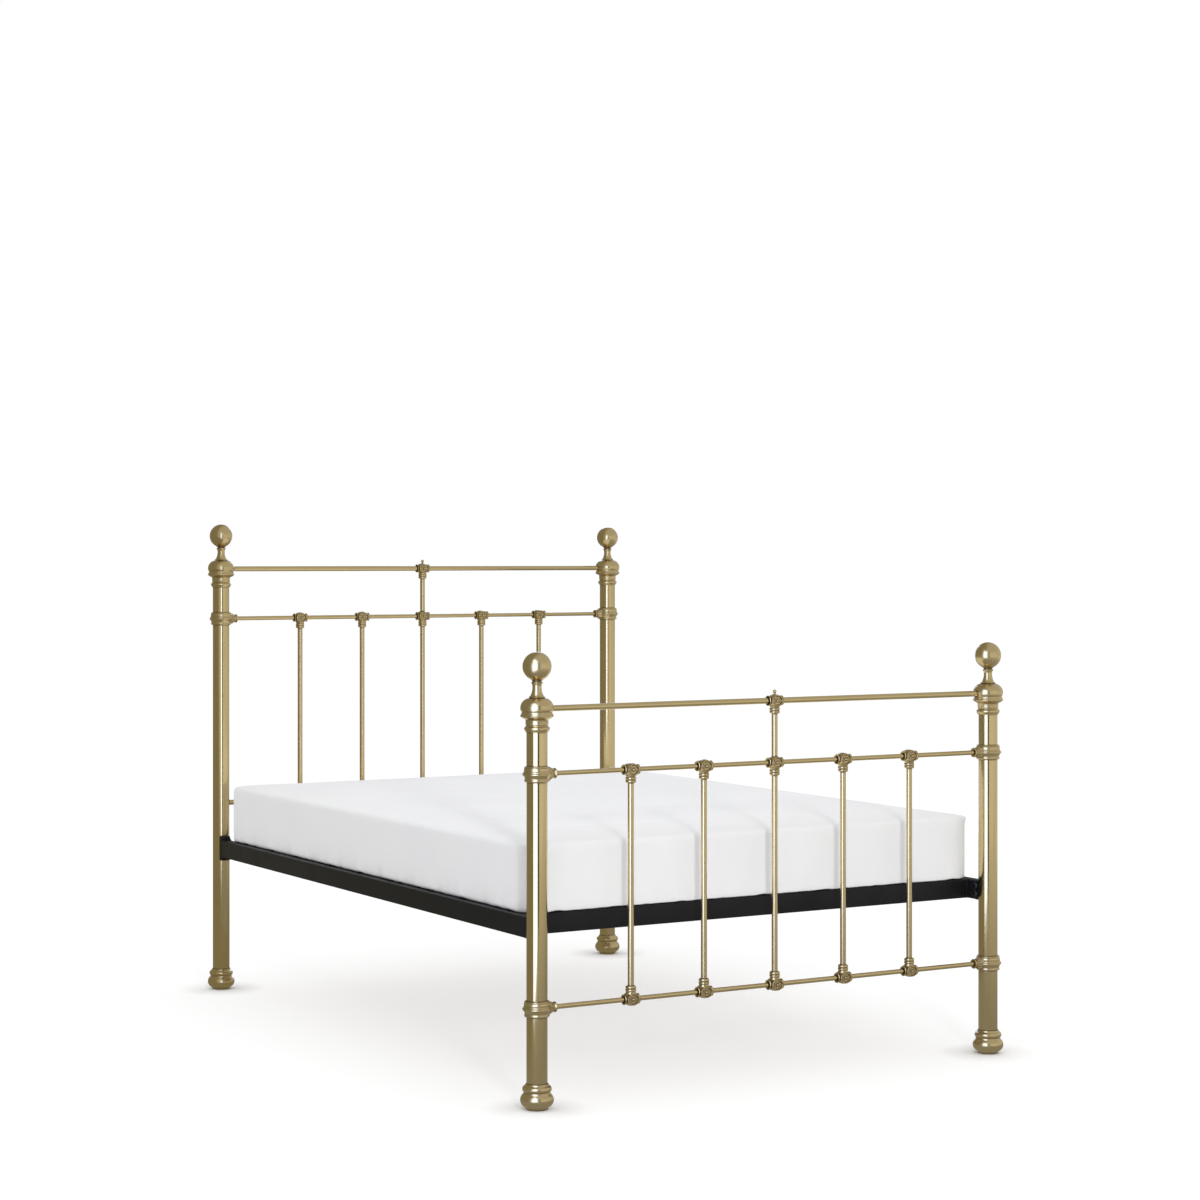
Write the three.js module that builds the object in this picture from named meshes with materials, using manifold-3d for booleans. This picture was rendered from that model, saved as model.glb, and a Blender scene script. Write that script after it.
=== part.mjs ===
// A metal double bedstead in the Victorian style, with its mattress.
// Two railed ends stand on turned feet and carry ball finials. Black side rails
// tie them together, and a sprung base of beech slats lies between the rails.
// Millimetres. +Z is up, -Y is the foot end, +X is the right side seen from the foot,
// and the origin is on the floor under the middle of the bed.

import * as THREE from 'three';
import { mergeVertices } from 'three/addons/utils/BufferGeometryUtils.js';
import Module from 'manifold-3d';

const wasm = await Module();
wasm.setup();

// ---------- driving dimensions ----------

const overallWidth = 1435;
const overallLength = 2040;
const headboardHeight = 1400;       // floor to the top of a headboard finial
const footboardHeight = 1078;
const clearance = 0.3;              // gap between pieces that touch

const postRadius = 25;
const postWall = 1.5;
const railWall = 1.2;
const topRailRadius = 7.5;
const midRailRadius = 6;
const headLowRailRadius = 7.5;
const footLowRailRadius = 6;
const spindleRadius = 7.5;
const spindleWall = 1.2;
const spindleCount = 5;
const spindlePitch = 209.5;

const headMidRailDrop = 150;        // top rail to mid rail
const footMidRailDrop = 154;
const headLowRailHeight = 560;
const footLowRailHeight = 237;

const footHeight = 61;              // turned foot, floor to the end of the post tube
const footRadius = 40;
const footBaseRadius = 26;
const footSpigotHeight = 30;

const capFlangeRadius = 40;
const capDomeRadius = 38.5;
const capDomeHeight = 24;
const capCrownRadius = 20;          // flat top that the finial stands on
const capHeight = 81;
const capTubeDepth = 39;            // length of post tube held in the cap
const capRailDrop = 26;             // cap top to the centre of the top rail
const capRailDepth = 18;            // length of top rail held in the cap

const ballRadius = 34.4;
const ballLipRadius = 14;           // the ball rests on a lip of this radius
const ballLipHeight = 42.2;         // cap top to that lip
const finialStudRadius = 6;
const finialStudLength = 14;

const collarHalfHeight = 18.7;
const collarRidgeRadius = 34;
const collarBossLength = 49.5;      // post axis to the end of the boss
const collarRingRadius = 12;

const knuckleHalfLength = 21;       // a casting's half length along its rail
const knuckleBarrelRadius = 14;
const knuckleHalfDepth = 15;        // rail axis to the rosette face
const knuckleNeckEnd = 32.5;        // rail axis to the end of the spindle socket
const knuckleNeckRadius = 12.3;
const budRadius = 4.7;              // small ball on the middle of each top rail
const budHeight = 27.5;             // top rail axis to the top of that ball

const sideRailWidth = 30;
const sideRailHeight = 50;
const sideRailBottom = 400;
const sideRailWall = 2;
const bracketWidth = 28;
const bracketDepth = 14;
const bracketAbove = 12;            // how far a bracket stands above and below its rail
const bracketBelow = 10;
const bracketWrap = 7;              // how far a bracket reaches round its post
const crossRailInset = 65;          // post axis to the outer face of a cross rail
const ledgeWidth = 22;
const ledgeThickness = 4;
const centreRailSize = 30;

const slatCount = 14;
const slatWidth = 64;
const slatThickness = 10;
const slatEndGap = 2;

const mattressHeight = 175;
const mattressCorner = 55;
const mattressEdge = 22;
const mattressHeadInset = 23;       // outer face of the head cross rail to the mattress

// ---------- sizes that follow from them ----------

const postX = overallWidth / 2 - Math.max(capFlangeRadius, footRadius);
const postY = overallLength / 2 - Math.max(capFlangeRadius, footRadius);
const ballCentre = ballLipHeight + Math.sqrt(ballRadius ** 2 - ballLipRadius ** 2);
const finialHeight = ballCentre + ballRadius;
const sideRailTop = sideRailBottom + sideRailHeight;
const innerX = postX - sideRailWidth / 2;
const crossRailOuterY = postY - crossRailInset;
const crossRailInnerY = crossRailOuterY - sideRailWidth;
const slatBottom = sideRailTop - slatThickness;

const turned = 16;                  // sides of a large turned piece
const cast = 8;                     // sides of a small casting
const drawn = 12;                   // sides of a drawn tube

// ---------- finishes ----------

const brass = new THREE.MeshStandardMaterial({ color: 0xb09a62, roughness: 0.3, metalness: 1 });
const blackPaint = new THREE.MeshStandardMaterial({ color: 0x262626, roughness: 0.45, metalness: 0.2 });
const beech = new THREE.MeshStandardMaterial({ color: 0xcfa87a, roughness: 0.6, metalness: 0 });
const cover = new THREE.MeshStandardMaterial({ color: 0xeeeeec, roughness: 0.9, metalness: 0 });

// ---------- solids ----------

function toSolid(geometry) {
  const bare = geometry.clone();
  bare.deleteAttribute('normal');
  bare.deleteAttribute('uv');
  const merged = mergeVertices(bare, 1e-4);
  const kept = [];
  const index = merged.index.array;
  for (let i = 0; i < index.length; i += 3) {
    const [a, b, c] = [index[i], index[i + 1], index[i + 2]];
    if (a !== b && b !== c && c !== a) kept.push(a, b, c);
  }
  return new wasm.Manifold(new wasm.Mesh({
    numProp: 3,
    vertProperties: merged.attributes.position.array,
    triVerts: Uint32Array.from(kept),
  }));
}

function toGeometry(solid) {
  const mesh = solid.getMesh();
  const geometry = new THREE.BufferGeometry();
  geometry.setAttribute('position', new THREE.BufferAttribute(mesh.vertProperties, mesh.numProp));
  geometry.setIndex(new THREE.BufferAttribute(mesh.triVerts, 1));
  return geometry;
}

const join = (first, ...rest) => rest.reduce((solid, next) => solid.add(next), first);
const cut = (first, ...tools) => tools.reduce((solid, next) => solid.subtract(next), first);

// A profile is a list of [radius, height] pairs, given upwards along its outside.
function turn(profile, sides) {
  const points = profile.map(([radius, height]) => new THREE.Vector2(radius, height));
  return new THREE.LatheGeometry(points, sides);
}

const turnZ = (profile, sides) => toSolid(turn(profile, sides).rotateX(Math.PI / 2));
const turnX = (profile, sides) => toSolid(turn(profile, sides).rotateZ(-Math.PI / 2));
const turnY = (profile, sides) => toSolid(turn(profile, sides));

const rod = (radius, low, high) => [[0, low], [radius, low], [radius, high], [0, high]];

const pipe = (radius, wall, low, high) => [
  [radius - wall, low], [radius, low], [radius, high], [radius - wall, high], [radius - wall, low],
];

// Part of an ellipse, from one angle to another, measured upwards from the horizontal.
function arc(radius, height, radialSize, verticalSize, from, to, steps) {
  return Array.from({ length: steps + 1 }, (_, i) => {
    const angle = THREE.MathUtils.degToRad(from + ((to - from) * i) / steps);
    return [radius + radialSize * Math.cos(angle), height + verticalSize * Math.sin(angle)];
  });
}

const alongY = (geometry, length) => geometry.rotateX(Math.PI / 2).translate(0, length / 2, 0);
const alongX = (geometry, length) =>
  geometry.rotateX(Math.PI / 2).rotateZ(Math.PI / 2).translate(-length / 2, 0, 0);

function outline(points) {
  return new THREE.Shape(points.map(([x, y]) => new THREE.Vector2(x, y)));
}

const rectangle = (x0, y0, x1, y1) => [[x0, y0], [x1, y0], [x1, y1], [x0, y1]];

function boxSection(width, height, wall) {
  const [x, y] = [width / 2, height / 2];
  const section = outline(rectangle(-x, -y, x, y));
  section.holes.push(outline(rectangle(wall - x, wall - y, x - wall, y - wall)));
  return section;
}

const extrude = (section, depth) =>
  new THREE.ExtrudeGeometry(section, { depth, bevelEnabled: false, curveSegments: 6 });

// ---------- turned pieces of a post ----------

function postTube(bottom, top, railHole) {
  const tube = turnZ(pipe(postRadius, postWall, bottom, top), turned);
  if (!railHole) return tube;
  const drill = turnX(rod(railHole.radius + clearance, 0, postRadius * 2), drawn);
  return cut(tube, drill.translate([0, 0, railHole.height]));
}

function bunFoot() {
  const waist = footHeight * 0.64;
  const bunCentre = footRadius / 2;
  return turnZ([
    [0, 0],
    [footBaseRadius, 0],
    ...arc(bunCentre, 22, footRadius - bunCentre, 21.5, -63, 0, 2),
    ...arc(bunCentre, 22, footRadius - bunCentre, 21.5, 20, 46, 1),
    [postRadius + 6, waist],
    ...arc(postRadius + 1, 50, 9, 9, -45, 70, 2),
    [postRadius + 2.5, footHeight],
    [postRadius - postWall - clearance, footHeight],
    [postRadius - postWall - clearance, footHeight + footSpigotHeight],
    [0, footHeight + footSpigotHeight],
  ], turned);
}

function postCap(railRadius) {
  const bore = postRadius + clearance;
  const boreTop = capTubeDepth - capHeight;
  const collar = postRadius + 2;
  const body = turnZ([
    [0, boreTop],
    [bore, boreTop],
    [bore, -capHeight],
    [postRadius + 1.5, -capHeight],
    ...arc(collar - 2, -73, 5.4, 6, -50, 65, 2),
    [collar, -66],
    [collar, -51.6],
    [postRadius + 3, -50.5],
    [capFlangeRadius, -44],
    [capFlangeRadius, -42],
    [capDomeRadius - 2.3, -35],
    ...arc(capCrownRadius, -capDomeHeight, capDomeRadius - capCrownRadius, capDomeHeight, -15, 90, 5),
    [finialStudRadius + clearance, 0],
    [finialStudRadius + clearance, -finialStudLength - clearance],
    [0, -finialStudLength - clearance],
  ], turned);
  const socket = turnX(rod(railRadius + clearance, capDomeRadius - capRailDepth, capDomeRadius * 2), drawn);
  return cut(body, socket.translate([0, 0, -capRailDrop]));
}

function ballFinial() {
  const lipAngle = THREE.MathUtils.radToDeg(Math.acos(ballLipRadius / ballRadius));
  return turnZ([
    [0, -finialStudLength],
    [finialStudRadius, -finialStudLength],
    [finialStudRadius, clearance],
    [15.5, clearance],
    [15.5, 1.5],
    [11.5, 8],
    [10.2, 18],
    [12.5, 34],
    [12.5, 36],
    [9.5, 37.5],
    [9.5, ballLipHeight - 2],
    ...arc(0, ballCentre, ballRadius, ballRadius, -lipAngle, 90, 7),
  ], turned);
}

// ---------- castings ----------

// A split collar round a post, with a boss that takes the end of a rail.
function postCollar(railRadius) {
  const bore = postRadius + clearance;
  const ringRadius = postRadius + 4.5;
  const ring = turnZ([
    [bore, -collarHalfHeight],
    [postRadius + 1.5, -collarHalfHeight],
    [ringRadius, -15],
    [collarRidgeRadius, 0],
    [ringRadius, 15],
    [postRadius + 1.5, collarHalfHeight],
    [bore, collarHalfHeight],
    [bore, -collarHalfHeight],
  ], turned);
  const boss = turnX([
    [0, postRadius + 2],
    [collarRingRadius, postRadius + 2],
    [railRadius + 3, collarBossLength - 10],
    [collarRingRadius, collarBossLength],
    [0, collarBossLength],
  ], cast);
  const socket = turnX(rod(railRadius + clearance, 0, collarBossLength * 2), drawn);
  const postHole = turnZ(rod(bore, -collarHalfHeight * 2, collarHalfHeight * 2), turned);
  return cut(join(ring, boss), socket, postHole);
}

// A knuckle sits where a spindle meets a rail. The rail passes through it along X,
// a rosette faces -Y and another +Y, and the spindle leaves it along -Z.
function knuckle(railRadius) {
  const end = railRadius + 6;
  const throat = railRadius + 3;
  const sleeve = turnX([
    [0, -knuckleHalfLength],
    [end, -knuckleHalfLength],
    [throat, -knuckleBarrelRadius],
    [throat, knuckleBarrelRadius],
    [end, knuckleHalfLength],
    [0, knuckleHalfLength],
  ], cast);
  const barrel = turnY(rod(knuckleBarrelRadius, -knuckleHalfDepth, knuckleHalfDepth), cast);
  const neck = turnZ(rod(knuckleNeckRadius, -knuckleNeckEnd, -railRadius), cast);
  return join(sleeve, barrel, neck);
}

const knuckleBore = (railRadius) =>
  turnX(rod(railRadius + clearance, -knuckleHalfLength * 2, knuckleHalfLength * 2), drawn);

function bud() {
  return turnZ([
    [0, knuckleBarrelRadius - 4],
    [4, knuckleBarrelRadius - 4],
    [2.5, budHeight - 2 * budRadius],
    ...arc(0, budHeight - budRadius, budRadius, budRadius, -50, 90, 3),
  ], cast);
}

// A hollow spindle between two rails, with its knuckles cast onto its ends.
function spindle(top, bottom) {
  const tube = turnZ(rod(spindleRadius, bottom.height, top.height), cast);
  const bore = turnZ(rod(spindleRadius - spindleWall, bottom.height, top.height), cast);
  const pieces = [tube];
  if (top.knuckle) pieces.push(knuckle(top.railRadius).translate([0, 0, top.height]));
  if (top.bud) pieces.push(bud().translate([0, 0, top.height]));
  if (bottom.knuckle) {
    pieces.push(knuckle(bottom.railRadius).rotate([180, 0, 0]).translate([0, 0, bottom.height]));
  }
  let solid = cut(join(...pieces), bore);
  for (const level of [top, bottom]) {
    if (level.knuckle) solid = cut(solid, knuckleBore(level.railRadius).translate([0, 0, level.height]));
  }
  return solid;
}

// ---------- black frame, slats and mattress ----------

// One welded piece: the box rail, the ledge that the slats lie on, and an end bracket
// at each end that wraps halfway round its post. The ledge is on the +X side.
function sideRail() {
  const bracketFaceY = postY - postRadius - bracketDepth;
  const railLength = 2 * bracketFaceY;
  const ledgeLength = 2 * (crossRailInnerY - clearance);
  const middle = (sideRailBottom + sideRailTop) / 2;
  const rail = extrude(boxSection(sideRailWidth, sideRailHeight, sideRailWall), railLength);
  const ledgeTop = slatBottom - clearance;
  const face = sideRailWidth / 2;
  const ledge = extrude(outline(
    rectangle(face - 0.5, ledgeTop - ledgeThickness, face + ledgeWidth, ledgeTop)), ledgeLength);
  let solid = join(
    toSolid(alongY(rail, railLength)).translate([0, 0, middle]),
    toSolid(alongY(ledge, ledgeLength)),
  );
  const bracketLength = bracketDepth + bracketWrap;
  const bracket = extrude(outline(rectangle(
    -bracketWidth / 2, sideRailBottom - bracketBelow, bracketWidth / 2, sideRailTop + bracketAbove,
  )), bracketLength);
  const bracketSolid = toSolid(alongY(bracket, bracketLength));
  const postHole = turnZ(rod(postRadius + clearance, 0, sideRailTop * 2), turned);
  for (const end of [-1, 1]) {
    const placed = bracketSolid.translate([0, end * (bracketFaceY + bracketLength / 2), 0]);
    solid = join(solid, cut(placed, postHole.translate([0, end * postY, 0])));
  }
  const [x, z] = [sideRailWidth / 2 - sideRailWall, sideRailHeight / 2 - sideRailWall];
  const hollow = extrude(outline(rectangle(-x, -z, x, z)), 2 * postY);
  return cut(solid, toSolid(alongY(hollow, 2 * postY)).translate([0, 0, middle]));
}

function crossRail() {
  const length = 2 * (innerX - clearance);
  return alongX(extrude(boxSection(sideRailWidth, sideRailHeight, sideRailWall), length), length);
}

function centreRail() {
  const length = 2 * (crossRailInnerY - clearance);
  return alongY(extrude(boxSection(centreRailSize, centreRailSize, sideRailWall), length), length);
}

function slat() {
  const length = 2 * (innerX - slatEndGap);
  const [y, z] = [slatWidth / 2, slatThickness / 2];
  const edge = slatThickness * 0.35;
  const section = outline([
    [-y, edge - z], [edge - y, -z], [y - edge, -z], [y, edge - z],
    [y, z - edge], [y - edge, z], [edge - y, z], [-y, z - edge],
  ]);
  return alongX(extrude(section, length), length);
}

function mattress() {
  const [x, y] = [innerX - mattressEdge, crossRailOuterY - mattressHeadInset / 2 - mattressEdge];
  const r = mattressCorner - mattressEdge;
  const plan = new THREE.Shape();
  plan.absarc(x - r, y - r, r, 0, Math.PI / 2);
  plan.absarc(r - x, y - r, r, Math.PI / 2, Math.PI);
  plan.absarc(r - x, r - y, r, Math.PI, Math.PI * 1.5);
  plan.absarc(x - r, r - y, r, Math.PI * 1.5, Math.PI * 2);
  return new THREE.ExtrudeGeometry(plan, {
    depth: mattressHeight - 2 * mattressEdge,
    bevelThickness: mattressEdge,
    bevelSize: mattressEdge,
    bevelSegments: 3,
    curveSegments: 3,
  }).translate(0, 0, mattressEdge);
}

// ---------- the bed ----------

const bed = new THREE.Group();

function place(parent, name, shape, material, { x = 0, y = 0, z = 0, turned: half = false } = {}) {
  const geometry = shape.isBufferGeometry ? shape : toGeometry(shape);
  const mesh = new THREE.Mesh(geometry, material);
  mesh.name = name;
  mesh.position.set(x, y, z);
  if (half) mesh.rotation.z = Math.PI;
  parent.add(mesh);
}

// One end of the bed. Its group stands in the plane of its posts.
function railedEnd(end) {
  const board = new THREE.Group();
  board.position.y = end.y;
  const capTop = end.height - finialHeight;
  const topRail = capTop - capRailDrop;
  const midRail = topRail - end.midRailDrop;

  for (const [side, sign] of [['left', -1], ['right', 1]]) {
    const at = { x: sign * postX, turned: sign > 0 };
    const prefix = `${end.name}_${side}`;
    const tubeTop = capTop - capHeight + capTubeDepth - clearance;
    place(board, `${prefix}_post`, postTube(footHeight + clearance, tubeTop, end.postHole), brass, at);
    place(board, `${prefix}_foot`, bunFoot(), brass, at);
    place(board, `${prefix}_cap`, postCap(topRailRadius), brass, { ...at, z: capTop });
    place(board, `${prefix}_finial`, ballFinial(), brass, { ...at, z: capTop });
    place(board, `${prefix}_mid_collar`, postCollar(midRailRadius), brass, { ...at, z: midRail });
    if (!end.postHole) {
      place(board, `${prefix}_low_collar`, postCollar(end.lowRailRadius), brass,
        { ...at, z: end.lowRailHeight });
    }
  }

  const collarEnd = postX - postRadius - 5 * clearance;
  const capEnd = postX - capDomeRadius + capRailDepth - clearance;
  const holeEnd = postX - postRadius + postWall + 8;
  const rails = [
    ['top', topRail, topRailRadius, capEnd],
    ['mid', midRail, midRailRadius, collarEnd],
    ['low', end.lowRailHeight, end.lowRailRadius, end.postHole ? holeEnd : collarEnd],
  ];
  for (const [level, height, radius, reach] of rails) {
    const tube = turnX(pipe(radius, railWall, -reach, reach), drawn);
    place(board, `${end.name}board_${level}_rail`, tube, brass, { z: height });
  }

  const low = { height: end.lowRailHeight, railRadius: end.lowRailRadius, knuckle: true };
  const mid = { height: midRail, railRadius: midRailRadius, knuckle: true };
  for (let i = 0; i < spindleCount; i += 1) {
    const x = (i - (spindleCount - 1) / 2) * spindlePitch;
    place(board, `${end.name}board_spindle_${i + 1}`, spindle(mid, low), brass, { x });
  }
  const crown = { height: topRail, railRadius: topRailRadius, knuckle: true, bud: true };
  const seat = { height: midRail + knuckleBarrelRadius + clearance };
  place(board, `${end.name}board_upper_spindle`, spindle(crown, seat), brass);
  bed.add(board);
}

railedEnd({
  name: 'head', y: postY, height: headboardHeight, midRailDrop: headMidRailDrop,
  lowRailHeight: headLowRailHeight, lowRailRadius: headLowRailRadius,
  postHole: { radius: headLowRailRadius, height: headLowRailHeight },
});
railedEnd({
  name: 'foot', y: -postY, height: footboardHeight, midRailDrop: footMidRailDrop,
  lowRailHeight: footLowRailHeight, lowRailRadius: footLowRailRadius,
});

place(bed, 'left_side_rail', sideRail(), blackPaint, { x: -postX });
place(bed, 'right_side_rail', sideRail(), blackPaint, { x: postX, turned: true });
const crossRailY = (crossRailOuterY + crossRailInnerY) / 2;
const railMiddle = (sideRailBottom + sideRailTop) / 2;
place(bed, 'foot_cross_rail', crossRail(), blackPaint, { y: -crossRailY, z: railMiddle });
place(bed, 'head_cross_rail', crossRail(), blackPaint, { y: crossRailY, z: railMiddle });
const centreRailZ = slatBottom - clearance - centreRailSize / 2;
place(bed, 'centre_rail', centreRail(), blackPaint, { z: centreRailZ });

const slatPitch = (2 * crossRailInnerY) / slatCount;
for (let i = 0; i < slatCount; i += 1) {
  const name = `slat_${String(i + 1).padStart(2, '0')}`;
  place(bed, name, slat(), beech, {
    y: (i - (slatCount - 1) / 2) * slatPitch,
    z: slatBottom + slatThickness / 2,
  });
}

place(bed, 'mattress', mattress(), cover, { y: -mattressHeadInset / 2, z: sideRailTop + clearance });

export default bed;
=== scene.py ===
# %% [markdown]
# # A brass bedstead with its mattress
# A double bed in the Victorian manner: two railed ends of brass tube and castings, a black
# steel frame between them, sprung beech slats and a white covered mattress.
# The plain CAD model gives every place and size. This notebook builds the fine version of
# each piece round it, one kind of piece at a time, and gives each finish its own material.

# %% Load the frame
from math import atan2, cos, pi, radians, sin, sqrt

import bpy
import numpy as np
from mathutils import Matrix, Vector


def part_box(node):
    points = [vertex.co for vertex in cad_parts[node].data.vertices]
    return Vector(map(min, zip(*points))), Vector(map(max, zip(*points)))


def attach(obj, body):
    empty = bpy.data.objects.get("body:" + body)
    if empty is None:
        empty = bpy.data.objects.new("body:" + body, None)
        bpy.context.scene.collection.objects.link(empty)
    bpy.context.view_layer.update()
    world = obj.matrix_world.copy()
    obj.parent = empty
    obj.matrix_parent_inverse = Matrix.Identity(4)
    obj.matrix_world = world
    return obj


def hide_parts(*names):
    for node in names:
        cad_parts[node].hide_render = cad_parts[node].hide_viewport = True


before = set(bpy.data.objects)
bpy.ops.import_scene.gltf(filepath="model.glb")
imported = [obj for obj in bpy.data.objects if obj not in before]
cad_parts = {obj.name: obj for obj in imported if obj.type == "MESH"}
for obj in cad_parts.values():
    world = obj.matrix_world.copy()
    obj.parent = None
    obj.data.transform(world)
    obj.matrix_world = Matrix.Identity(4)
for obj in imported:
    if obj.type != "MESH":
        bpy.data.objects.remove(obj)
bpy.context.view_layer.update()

# %% [markdown]
# ## The camera
# The view is from the foot end, a little to the left, at chest height. A long lens from
# seven metres away shows the posts at nearly the same size. It looks level, so upright
# lines stay upright, and a small shift brings the bed into the picture.

# %% Camera
camera_place = (-3.607, -6.246, 1.301)
camera_heading = 30.5               # degrees to the right of straight at the headboard
camera_lens = 76.66

camera_data = bpy.data.cameras.new("camera")
camera_data.lens = camera_lens
camera_data.sensor_width = 36
camera_data.shift_y = -0.0356
camera = bpy.data.objects.new("camera", camera_data)
bpy.context.collection.objects.link(camera)
camera.location = camera_place
camera.rotation_euler = (radians(90), 0, -radians(camera_heading))
bpy.context.scene.camera = camera
print("camera stands at", camera_place)

# %% [markdown]
# ## Helpers for modelling
# Blender's operators work on whatever is selected, so each helper first clears the
# selection. `turned` is the lathe: it draws a profile point by point and spins it, which is
# how most of this bed was made. Profiles are lists of (radius, height) in millimetres.

# %% Selecting, placing and joining
MM = 0.001
SMOOTH_ANGLE = radians(32)


def deselect():
    bpy.ops.object.select_all(action="DESELECT")


def select(piece):
    deselect()
    piece.select_set(True)
    bpy.context.view_layer.objects.active = piece


def fix_place(piece):
    """Move the piece's place, turn and scale into its mesh."""
    select(piece)
    bpy.ops.object.transform_apply(location=True, rotation=True, scale=True)
    return piece


def smooth(piece):
    select(piece)
    bpy.ops.object.shade_smooth_by_angle(angle=SMOOTH_ANGLE)
    return piece


def scrap(piece):
    bpy.data.objects.remove(piece, do_unlink=True)


def copied(piece, name, place=(0, 0, 0), turn=(0, 0, 0)):
    """A copy with its own mesh, turned about the origin and then moved to its place."""
    select(piece)
    bpy.ops.object.duplicate()
    copy = bpy.context.object
    copy.name = name
    copy.rotation_euler = turn
    copy.location = place
    return fix_place(copy)


def joined(pieces):
    """Gather pieces that don't touch into one mesh."""
    deselect()
    for piece in pieces:
        piece.select_set(True)
    bpy.context.view_layer.objects.active = pieces[0]
    bpy.ops.object.join()
    return bpy.context.object


def boolean(piece, tool, operation):
    """Join, cut or intersect two closed shapes. The second one is used up."""
    modifier = piece.modifiers.new("boolean", "BOOLEAN")
    modifier.operation = operation
    modifier.solver = "EXACT"
    modifier.object = tool
    select(piece)
    bpy.ops.object.modifier_apply(modifier=modifier.name)
    scrap(tool)
    return smooth(piece)


# %% A lathe and a plain block
LATHE_TURNS = {"Z": (0, 0, 0), "X": (0, radians(90), 0), "Y": (radians(-90), 0, 0)}


def turned(name, profile, along="Z", steps=64):
    """Spin a profile round its axis. Heights run along +X, +Y or +Z."""
    deselect()
    bpy.ops.mesh.primitive_plane_add(size=MM)
    piece = bpy.context.object
    piece.name = name
    bpy.ops.object.mode_set(mode="EDIT")
    bpy.ops.mesh.merge(type="CENTER")
    radius, height = profile[0]
    bpy.ops.transform.translate(value=(radius * MM, 0, height * MM))
    for next_radius, next_height in profile[1:]:
        move = ((next_radius - radius) * MM, 0, (next_height - height) * MM)
        bpy.ops.mesh.extrude_vertices_move(TRANSFORM_OT_translate={"value": move})
        radius, height = next_radius, next_height
    bpy.ops.mesh.select_all(action="SELECT")
    bpy.ops.mesh.spin(steps=steps, angle=2 * pi, center=(0, 0, 0), axis=(0, 0, 1))
    bpy.ops.mesh.select_all(action="SELECT")
    bpy.ops.mesh.remove_doubles(threshold=0.02 * MM)
    bpy.ops.mesh.normals_make_consistent(inside=False)
    bpy.ops.object.mode_set(mode="OBJECT")
    piece.rotation_euler = LATHE_TURNS[along]
    return smooth(fix_place(piece))


def round_bar(name, radius, low, high, along="Z", steps=48, place=(0, 0, 0)):
    """A plain round bar, to add or to drill with. Its radius and ends are in millimetres."""
    piece = turned(name, [(0, low), (radius, low), (radius, high), (0, high)], along, steps)
    piece.location = place
    return fix_place(piece)


def arc(radius, height, across, up, start, end, steps):
    """Points of an ellipse for a profile. Angles are degrees above the horizontal."""
    angles = [radians(start + (end - start) * i / steps) for i in range(steps + 1)]
    return [(radius + across * cos(a), height + up * sin(a)) for a in angles]


def block(name, low, high, edge=0.0, segments=3):
    """A bar between two corners, in metres, with its edges rounded over."""
    deselect()
    low, high = Vector(low), Vector(high)
    bpy.ops.mesh.primitive_cube_add(size=1, location=(low + high) / 2, scale=high - low)
    piece = bpy.context.object
    piece.name = name
    fix_place(piece)
    if edge:
        bpy.ops.object.mode_set(mode="EDIT")
        bpy.ops.mesh.select_all(action="SELECT")
        bpy.ops.mesh.bevel(offset=edge, segments=segments, affect="EDGES")
        bpy.ops.object.mode_set(mode="OBJECT")
    return smooth(piece)


def round_edges(piece, wanted, radius, segments):
    """Bevel the edges whose two ends pass a test."""
    select(piece)
    bpy.ops.object.mode_set(mode="EDIT")
    bpy.ops.mesh.select_mode(type="EDGE")
    bpy.ops.mesh.select_all(action="DESELECT")
    bpy.ops.object.mode_set(mode="OBJECT")
    points = piece.data.vertices
    for edge in piece.data.edges:
        first, second = (points[i].co for i in edge.vertices)
        edge.select = wanted(first, second)
    bpy.ops.object.mode_set(mode="EDIT")
    bpy.ops.mesh.bevel(offset=radius, segments=segments)
    bpy.ops.object.mode_set(mode="OBJECT")


print("helpers ready")

# %% [markdown]
# ## Helpers for materials
# A material is a small network of nodes. `add` places one node, sets its values and links
# its inputs in one go. An effect that several finishes share, such as dirt and painted shade
# in hollows, is a node group: it is built once, and each material sets its own numbers on it.

# %% Single nodes
def add(tree, kind, values=None, **settings):
    """Add a node. A socket given as a value is linked, and anything else is set."""
    node = tree.nodes.new(kind)
    for key, setting in settings.items():
        setattr(node, key, setting)
    for key, value in (values or {}).items():
        if isinstance(value, bpy.types.NodeSocket):
            tree.links.new(value, node.inputs[key])
        else:
            node.inputs[key].default_value = value
    return node


def math(tree, operation, *values):
    return add(tree, "ShaderNodeMath", dict(enumerate(values)), operation=operation).outputs[0]


def vector(tree, operation, *values):
    """Work on a place or direction. A length or a dot product comes out as a number."""
    node = add(tree, "ShaderNodeVectorMath", dict(enumerate(values)), operation=operation)
    return node.outputs["Value" if operation in ("LENGTH", "DOT_PRODUCT") else "Vector"]


def blend(tree, amount, first, second):
    """Mix two colours."""
    values = {0: amount, 6: first, 7: second}
    return add(tree, "ShaderNodeMix", values, data_type="RGBA").outputs[2]


def spread(tree, value, low, high, to_low=0.0, to_high=1.0):
    """Stretch a range of values to another range, held at both ends."""
    values = dict(enumerate((value, low, high, to_low, to_high)))
    return add(tree, "ShaderNodeMapRange", values).outputs[0]


def own_place(tree):
    """The place of a point on the piece, in the piece's own space."""
    return add(tree, "ShaderNodeTexCoord").outputs["Object"]


def noise(tree, place, scale, detail=2.0, **more):
    values = {"Vector": place, "Scale": scale, "Detail": detail, **more}
    return add(tree, "ShaderNodeTexNoise", values).outputs["Fac"]


# %% Groups and materials
def new_group(name, **inputs):
    """A new node group, and the sockets that each material sets."""
    tree = bpy.data.node_groups.new(name, "ShaderNodeTree")
    for label, value in inputs.items():
        socket = tree.interface.new_socket(label, in_out="INPUT", socket_type="NodeSocketFloat")
        socket.default_value = value
    return tree, add(tree, "NodeGroupInput").outputs


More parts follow.
